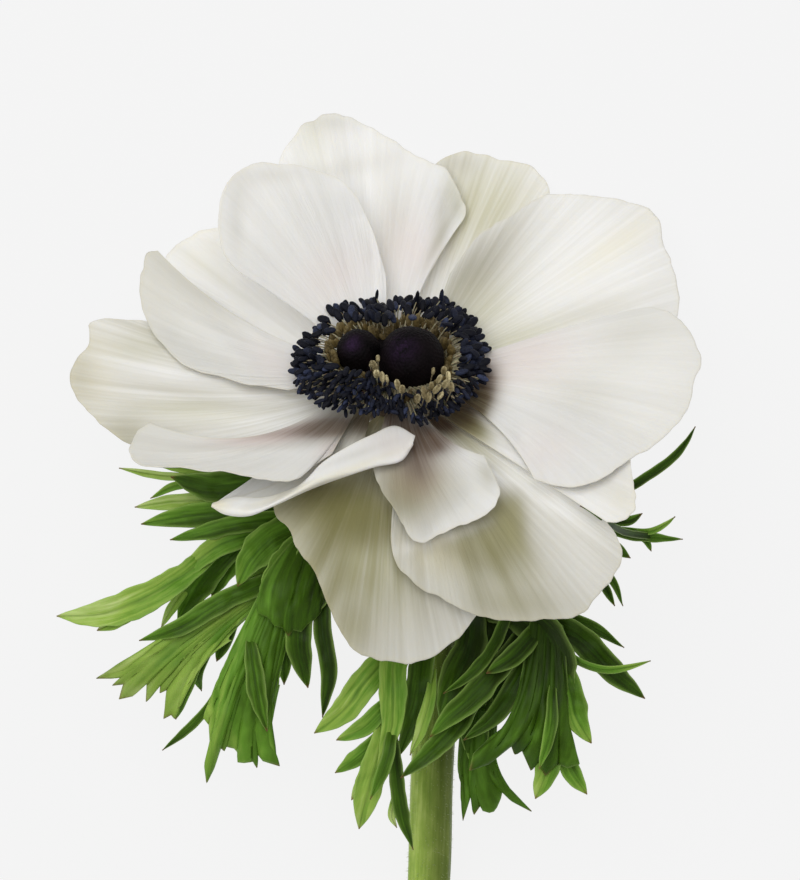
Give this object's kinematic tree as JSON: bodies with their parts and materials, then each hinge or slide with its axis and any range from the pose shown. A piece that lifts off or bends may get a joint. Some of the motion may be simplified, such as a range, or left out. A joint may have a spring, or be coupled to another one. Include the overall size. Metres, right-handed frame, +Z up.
{
  "type": "anemone flower",
  "caption": "Cut semi-double anemone flower lying down: white tepals in five storeys, dark stamens, double pistil, cut green bracts and a bare stem.",
  "frame": {"origin": "on the surface that the flower lies on, under the middle of its outline", "axes": "+Y along the lying stem towards the bloom, +Z up from the surface, +X to the right"},
  "size_m": [0.102, 0.2262, 0.0537],
  "materials": {
    "stem": "fresh light green stem, matt with fine down",
    "leaf": "fresh green leaf, satin",
    "tepal": "thin white petal tissue, soft and slightly see-through",
    "anther": "blue-black pollen sacs, matt",
    "pistil": "purple-black carpels, fine bumps"
  },
  "bodies": {
    "root": {"stem": "stem", "leaf_left": "leaf", "leaf_front": "leaf", "leaf_right": "leaf", "tepal_01": "tepal", "tepal_02": "tepal", "tepal_03": "tepal", "tepal_04": "tepal", "tepal_05": "tepal", "tepal_06": "tepal", "tepal_07": "tepal", "tepal_08": "tepal", "tepal_09": "tepal", "tepal_10": "tepal", "tepal_11": "tepal", "tepal_12": "tepal", "tepal_13": "tepal", "tepal_14": "tepal", "stamens": "anther", "pistil": "pistil"}
  },
  "joints": []
}
